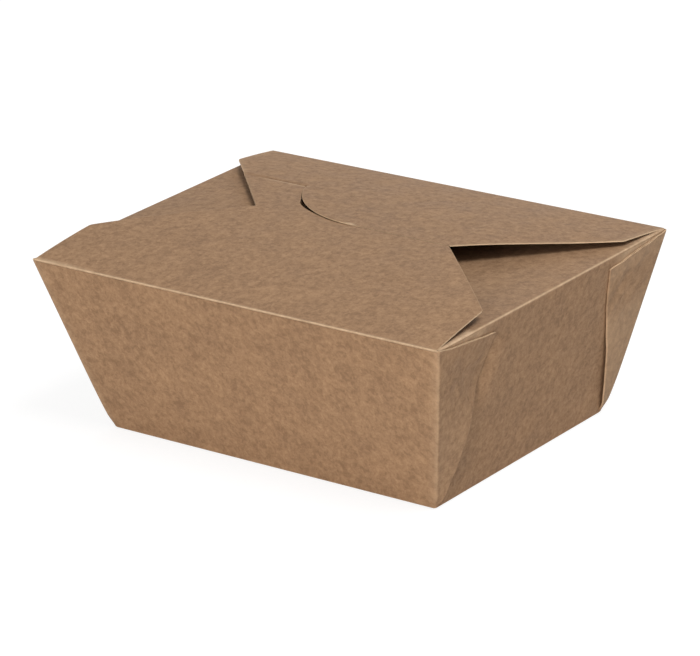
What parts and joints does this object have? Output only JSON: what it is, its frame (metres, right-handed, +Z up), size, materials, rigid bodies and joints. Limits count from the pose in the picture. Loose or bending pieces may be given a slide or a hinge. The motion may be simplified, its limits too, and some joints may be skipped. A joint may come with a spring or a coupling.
{
  "type": "folded food carton",
  "caption": "Takeaway food carton of folded kraft board: flared tray with web corners on the end walls, dust flaps, and a lid whose hinged front flap lays its tongue over the back flap.",
  "frame": {"origin": "middle of the base's underside", "axes": "+Z up, +X along the long side, +Y towards the back flap; the front flap opens about the rim at -Y"},
  "size_m": [0.2406, 0.1856, 0.0987],
  "materials": {
    "kraft_board": "matte, fibrous"
  },
  "bodies": {
    "carton": {"carton": "kraft_board"},
    "front_flap": {"front_flap": "kraft_board"}
  },
  "joints": [
    {"name": "front_flap_hinge", "type": "hinge", "parent": "carton", "child": "front_flap", "pos_m": [0, -0.09227, 0.09], "axis": [1, 0, 0], "range_deg": [0, 180]}
  ]
}
